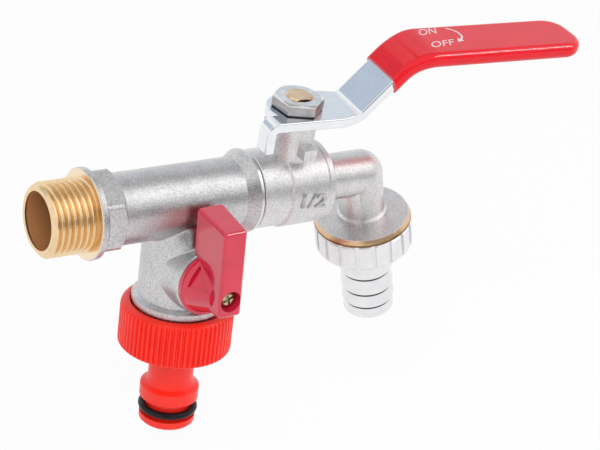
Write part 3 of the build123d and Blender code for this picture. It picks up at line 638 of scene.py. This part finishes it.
def makeInletFinish(look, bands):
    f = Finish("castNickelInlet")
    x, y, z = f.objectPlace()
    brass, ring = f.band(x, bands["brass"]), f.band(x, bands["ring"])
    deep = f.math("MULTIPLY", f.band(f.radius(y, z), bands["boreRound"]), f.band(x, bands["boreLong"]))
    nickel = f.mix(ring, castColour(f, look), look["ring"])
    # painted highlight: lighter brass on the flange's front face
    bare = f.mix(f.band(x, bands["face"]), wornBrass(f, look), look["face"])
    metal = f.mix(deep, f.mix(brass, nickel, bare), look["bore"])
    return castSkin(f, look, f.math("MAXIMUM", ring, brass), metal,
                    f.math("MULTIPLY", deep, look["boreBare"]))

def makeSpoutFinish(look, bands):
    f = Finish("castNickelSpout")
    x = f.objectPlace()[0]
    sx, sy, sz = f.objectPlace(spoutFrame)
    rim = f.math("MULTIPLY", f.band(sz, bands["rimLong"]), f.band(f.radius(sx, sy), bands["rimRound"]))
    ring = f.math("MAXIMUM", f.band(x, bands["ringFar"]), f.band(x, bands["ringNear"]))
    nickel = f.mix(ring, castColour(f, look), look["ring"])
    # painted shade on the lower part of the brass rim
    bare = f.mix(f.band(sz, bands["under"]), wornBrass(f, look), look["rimUnderShade"])
    return castSkin(f, look, f.math("MAXIMUM", ring, rim), f.mix(rim, nickel, bare))


# plain metals; grain is scale, depth and strength
metalLook = {"mottle": 300.0, "spread": (0.8, 1.25)}
metals = {
    "unionNickel": {"light": (0.87, 0.865, 0.875), "dark": (0.80, 0.795, 0.81), "rough": 0.30,
                    "grain": (1800.0, 0.00002, 0.15), "metallic": 0.75},
    # painted shade: the raised size mark is coloured darker than the casting around it
    "markShadedNickel": {"light": (0.66, 0.65, 0.655), "dark": (0.40, 0.39, 0.395), "rough": 0.24,
                   "grain": (1900.0, 0.00005, 0.4)},
    "turnedBrass": {"light": (0.90, 0.67, 0.45), "dark": (0.74, 0.52, 0.33), "rough": 0.28,
                    "grain": (1800.0, 0.00003, 0.3)},
    "ballChrome": {"light": (0.72, 0.73, 0.74), "dark": (0.66, 0.67, 0.68), "rough": 0.06,
                   "grain": (1200.0, 0.00001, 0.05)},
    "yellowZinc": {"light": (0.60, 0.54, 0.36), "dark": (0.44, 0.38, 0.22), "rough": 0.22,
                   "grain": (2000.0, 0.00003, 0.3)},
}

def metalSkin(f, look, colour):
    normal, grain = f.grain(*look["grain"])
    f.set(Base_Color=colour, Metallic=look.get("metallic", 1.0), Normal=normal,
          Roughness=f.roughness(grain, look["rough"], metalLook["spread"]))
    return f.mat

def makeMetal(name, look):
    f = Finish(name)
    return metalSkin(f, look, f.mix(f.mottle(metalLook["mottle"]), look["light"], look["dark"]))


nutLook = {"light": (0.94, 0.93, 0.93), "dark": (0.66, 0.65, 0.65), "rough": 0.18,
           # painted shade: flank colours darker than the top, and a near-black painted contact shadow at
           # the seat
           "flankLight": (0.52, 0.505, 0.505), "flankDark": (0.33, 0.32, 0.32),
           "flank": (0.0, 0.0279, 0.0003),
           "seatShadow": (0.03, 0.03, 0.035), "seat": (0.0, 0.02525, 0.00025), "grain": (1500.0, 0.00003, 0.3)}

def makeNutFinish(name, look):
    # painted shade on the darker flanks, and a painted contact shadow where the nut sits on the lever
    f = Finish(name)
    lz = f.objectPlace(leverFrame)[2]
    mottle = f.mottle(metalLook["mottle"])
    bright = f.mix(mottle, look["light"], look["dark"])
    shadedFlank = f.mix(mottle, look["flankLight"], look["flankDark"])
    # painted shade on the flanks, then a painted contact shadow at the seat
    beforeRecessShade = f.mix(f.band(lz, look["flank"]), bright, shadedFlank)
    return metalSkin(f, look, f.mix(f.band(lz, look["seat"]), beforeRecessShade, look["seatShadow"]))


# the near-black tail colour is a painted shadow in each barb's undercut
tailLook = {"light": (0.86, 0.86, 0.87), "dark": (0.78, 0.78, 0.80), "grooveShadow": (0.045, 0.045, 0.05),
            "rough": 0.17, "grain": (1800.0, 0.00002, 0.15),
            "grooves": (0.0349, 0.0409, 0.0459), "grooveOver": 0.00005, "grooveWide": 0.0011,
            "soft": 0.0003}

def makeTailFinish(name, look):
    # painted shadow: darkened in the undercut below each barb
    f = Finish(name)
    sz = f.objectPlace(spoutFrame)[2]
    dark = 0.0
    for level in look["grooves"]:
        place = (level - look["grooveOver"], level + look["grooveWide"], look["soft"])
        dark = f.math("MAXIMUM", f.band(sz, place), dark)
    beforeRecessShade = f.mix(f.mottle(metalLook["mottle"]), look["light"], look["dark"])
    return metalSkin(f, look, f.mix(dark, beforeRecessShade, look["grooveShadow"]))


leverZinc = {"light": (0.91, 0.925, 0.945), "dark": (0.79, 0.81, 0.84), "mottle": 240.0,
             "along": 60.0, "across": 1700.0, "lineStrength": 0.35, "lineDepth": 0.00005, "lineDetail": 3.0,
             "rough": 0.14, "spread": (0.8, 1.3)}

def makeBrushedSteel(name, look):
    # fine lines along the lever from the press, over bright zinc
    f = Finish(name)
    stretched = f.n.new("ShaderNodeCombineXYZ")
    stretch = (look["along"], look["across"], look["along"])
    for axis, place in enumerate(f.objectPlace(leverFrame)):
        f.put(stretched, axis, f.math("MULTIPLY", place, stretch[axis]))
    lines = f.n.new("ShaderNodeTexNoise")
    lines.inputs["Scale"].default_value = 1.0
    lines.inputs["Detail"].default_value = look["lineDetail"]
    f.put(lines, "Vector", stretched.outputs[0])
    fine = lines.outputs["Fac"]
    bump = f.n.new("ShaderNodeBump")
    bump.inputs["Strength"].default_value = look["lineStrength"]
    bump.inputs["Distance"].default_value = look["lineDepth"]
    f.put(bump, "Height", fine)
    mean = f.math("MULTIPLY", f.math("ADD", f.mottle(look["mottle"]), fine), 0.5)
    f.set(Base_Color=f.mix(mean, look["light"], look["dark"]), Metallic=1.0, Normal=bump.outputs[0],
          Roughness=f.roughness(fine, look["rough"], look["spread"]))
    return f.mat


# plastics, rubber and the dipped sleeve
glossLook = {"mottle": 150.0, "spread": (0.85, 1.2), "coatRough": 0.04, "shine": 0.5}
glosses = {
    "sleeveRed": {"light": (0.80, 0.006, 0.019), "dark": (0.73, 0.005, 0.015), "rough": 0.16, "coat": 0.45,
                  "grain": (700.0, 0.00003, 0.06), "shine": 0.15},
    "handleRed": {"light": (0.66, 0.014, 0.052), "dark": (0.58, 0.010, 0.042), "rough": 0.20, "coat": 1.0,
                  "grain": (900.0, 0.00003, 0.08), "shine": 0.35},
    "gripRed": {"light": (0.97, 0.026, 0.012), "dark": (0.90, 0.019, 0.008), "rough": 0.34,
                "grain": (1200.0, 0.00003, 0.15)},
    "sealWhite": {"light": (0.80, 0.80, 0.78), "dark": (0.74, 0.74, 0.72), "rough": 0.45,
                  "grain": (1500.0, 0.00003, 0.1)},
    "ringBlack": {"light": (0.007, 0.007, 0.010), "dark": (0.004, 0.004, 0.006), "rough": 0.30,
                  "grain": (1500.0, 0.00003, 0.2), "shine": 0.25},
}

def makeGloss(name, look):
    f = Finish(name)
    normal, grain = f.grain(*look["grain"])
    f.set(Base_Color=f.mix(f.mottle(glossLook["mottle"]), look["light"], look["dark"]), Normal=normal,
          Coat_Weight=look.get("coat", 0.0), Coat_Roughness=glossLook["coatRough"],
          Specular_IOR_Level=look.get("shine", glossLook["shine"]),
          Roughness=f.roughness(grain, look["rough"], glossLook["spread"]))
    return f.mat


printLook = {"light": (0.82, 0.74, 0.75), "dark": (0.74, 0.60, 0.62), "wear": 1200.0, "wearShare": 0.8,
             "grain": (1500.0, 0.00002, 0.1), "rough": (0.35, 0.5)}

def makePrint(name, look):
    f = Finish(name)
    worn = f.mottle(look["wear"], look["wearShare"])
    normal, grain = f.grain(*look["grain"])
    f.set(Base_Color=f.mix(worn, look["light"], look["dark"]), Normal=normal,
          Roughness=f.blendValue(grain, *look["rough"]))
    return f.mat

finishes = {
    "inlet": makeInletFinish(castNickel, inletBands),
    "spout": makeSpoutFinish(litSpoutNickel, spoutBands),
    "leverSteel": makeBrushedSteel("leverSteel", leverZinc),
    "nutNickel": makeNutFinish("nutNickel", nutLook),
    "tailNickel": makeTailFinish("tailNickel", tailLook),
    "printWhite": makePrint("printWhite", printLook),
}
finishes.update({name: makeMetal(name, look) for name, look in metals.items()})
finishes.update({name: makeGloss(name, look) for name, look in glosses.items()})

nodeFinish = {
    "spout_body": "spout", "body_joint_seal": "ringBlack",
    "main_seat_inlet": "sealWhite", "main_seat_outlet": "sealWhite",
    "side_seat_upper": "sealWhite", "side_seat_lower": "sealWhite", "side_seat_retainer": "turnedBrass",
    "tap_connector": "gripRed", "connector_washer": "ringBlack", "connector_ring": "ringBlack",
    "union_nut": "unionNickel", "union_washer": "ringBlack", "hose_tail": "tailNickel",
    "main_lever": "leverSteel", "lever_sleeve": "sleeveRed", "lever_nut": "nutNickel",
    "main_stem": "turnedBrass", "main_ball": "ballChrome", "main_thrust_washer": "sealWhite",
    "main_stem_ring_lower": "ringBlack", "main_stem_ring_upper": "ringBlack",
    "side_handle": "handleRed", "side_handle_screw": "yellowZinc", "side_stem": "turnedBrass",
    "side_ball": "ballChrome", "side_thrust_washer": "sealWhite", "side_stem_ring": "ringBlack",
}

def dress(obj, finish):
    obj.data.materials.clear()
    obj.data.materials.append(finishes[finish])

pieceFinish = {
    "inletCasting": "inlet", "spoutCasting": "spout", "castMark": "markShadedNickel", "leverPlate": "leverSteel",
    "hoseConnector": "gripRed", "unionNut": "unionNickel", "hoseTail": "tailNickel",
    "handleScrew": "yellowZinc", "sleevePrint": "printWhite",
}

for nodeName, finish in nodeFinish.items():
    dress(nodes[nodeName], finish)
for pieceName, finish in pieceFinish.items():
    dress(pieces[pieceName], finish)
print("finishes set:", len(finishes))


# pale floor, white surroundings, soft boxes, and cards that only reflections see
studio = {
    "floorDrop": 0.02, "floorSize": 6.0, "floorAt": 0.05, "floorColour": (0.88, 0.88, 0.88, 1),
    "ambient": 0.60, "lift": 0.92,
    "boxes": {
        "key": {"spot": (-0.45, -0.60, 0.75), "size": 0.60, "watts": 5.0, "shine": False},
        "fill": {"spot": (0.80, -0.45, 0.40), "size": 0.60, "watts": 2.0, "shine": False},
        "shine": {"spot": (0.58, -0.36, 0.74), "size": 0.55, "watts": 0.75, "shine": True},
        "strip": {"spot": (0.60, -0.487, 0.68), "size": 0.70, "high": 0.20, "watts": 6.5, "shine": True,
                  "only": ("lever_sleeve", "side_handle")},
    },
    "cards": {
        "front": {"turn": 12.0, "rise": 10.0, "distance": 0.75, "wide": 1.5, "high": 0.30, "level": 0.34},
        "over": {"turn": 140.0, "rise": 62.0, "distance": 0.90, "wide": 0.80, "high": 0.45, "level": 0.45},
        "rear": {"turn": 217.8, "rise": 29.3, "distance": 0.90, "wide": 0.55, "high": 0.40, "level": 0.70,
                 "tint": (0.74, 0.85, 1.0)},
        "sky": {"turn": 142.7, "rise": 29.1, "distance": 0.90, "wide": 0.70, "high": 0.38, "level": 0.84,
                "tint": (0.86, 0.93, 1.0)},
        "lens": {"turn": -37.3, "rise": 29.0, "distance": 0.64, "wide": 0.34, "high": 0.28, "level": 0.03},
    },
}
white = (1, 1, 1, 1)
aim = Vector(cameraSetup["aim"])

def rayMask(n, l):
    path = n.new("ShaderNodeLightPath").outputs
    seen = mathNode(n, l, "MAXIMUM", path["Is Camera Ray"], path["Is Glossy Ray"])
    return mathNode(n, l, "MAXIMUM", seen, path["Is Transmission Ray"])

def layFloor(setup):
    low = cadBox[0].z - setup["floorDrop"]
    bpy.ops.object.select_all(action="DESELECT")
    bpy.ops.mesh.primitive_plane_add(size=setup["floorSize"], location=(setup["floorAt"], 0, low))
    floor = bpy.context.object
    floor.name = "paleFloor"
    mat = bpy.data.materials.new("paleFloor")
    mat.use_nodes = True
    n, l = mat.node_tree.nodes, mat.node_tree.links
    n.clear()
    out, mixer = n.new("ShaderNodeOutputMaterial"), n.new("ShaderNodeMixShader")
    matt, glow = n.new("ShaderNodeBsdfDiffuse"), n.new("ShaderNodeEmission")
    matt.inputs["Color"].default_value = setup["floorColour"]
    glow.inputs["Color"].default_value = white
    glow.inputs["Strength"].default_value = 1.0
    l.new(mathNode(n, l, "MULTIPLY", rayMask(n, l), setup["lift"]), mixer.inputs[0])
    l.new(matt.outputs[0], mixer.inputs[1])
    l.new(glow.outputs[0], mixer.inputs[2])
    l.new(mixer.outputs[0], out.inputs["Surface"])
    floor.data.materials.append(mat)

def whitenRoom(setup):
    world = bpy.data.worlds.new("whiteRoom")
    world.use_nodes = True
    scene.world = world
    n, l = world.node_tree.nodes, world.node_tree.links
    back = n["Background"]
    back.inputs["Color"].default_value = white
    level = n.new("ShaderNodeMapRange")
    level.inputs["To Min"].default_value = setup["ambient"]
    level.inputs["To Max"].default_value = 1.0
    l.new(rayMask(n, l), level.inputs["Value"])
    l.new(level.outputs["Result"], back.inputs["Strength"])

def hangBox(name, box):
    lamp = bpy.data.lights.new(name + "Box", "AREA")
    lamp.shape, lamp.energy = "RECTANGLE", box["watts"]
    lamp.size, lamp.size_y = box["size"], box.get("high", box["size"])
    obj = bpy.data.objects.new(name + "Box", lamp)
    scene.collection.objects.link(obj)
    # the long side runs with the tap
    away = (Vector(box["spot"]) - aim).normalized()
    along = (Vector((1, 0, 0)) - away * away.x).normalized()
    turn = Matrix((along, away.cross(along), away)).transposed().to_4x4()
    obj.matrix_world = Matrix.Translation(box["spot"]) @ turn
    obj.visible_glossy = box["shine"]
    if "only" in box:
        group = bpy.data.collections.new(name + "Receivers")
        for node in box["only"]:
            group.objects.link(nodes[node])
        obj.light_linking.receiver_collection = group
        obj.visible_diffuse = False

def hangCard(name, card):
    turn, rise = math.radians(card["turn"]), math.radians(card["rise"])
    flat = math.cos(rise)
    toward = Vector((math.sin(turn) * flat, -math.cos(turn) * flat, math.sin(rise)))
    bpy.ops.object.select_all(action="DESELECT")
    bpy.ops.mesh.primitive_plane_add(size=1.0, location=aim + toward * card["distance"],
                                     rotation=toward.to_track_quat("Z", "Y").to_euler())
    plane = bpy.context.object
    plane.name = name + "Card"
    plane.scale = (card["wide"], card["high"], 1)
    plane.visible_camera = plane.visible_diffuse = False
    plane.visible_shadow = plane.visible_transmission = False
    grey = bpy.data.materials.new(name + "Card")
    grey.use_nodes = True
    skin = grey.node_tree.nodes["Principled BSDF"]
    skin.inputs["Base Color"].default_value = (0, 0, 0, 1)
    skin.inputs["Specular IOR Level"].default_value = 0.0
    skin.inputs["Emission Color"].default_value = (*card.get("tint", white[:3]), 1)
    skin.inputs["Emission Strength"].default_value = card["level"]
    plane.data.materials.append(grey)

layFloor(studio)
whitenRoom(studio)
for name, box in studio["boxes"].items():
    hangBox(name, box)
for name, card in studio["cards"].items():
    hangCard(name, card)
scene.view_settings.view_transform = "Standard"
print("studio built")
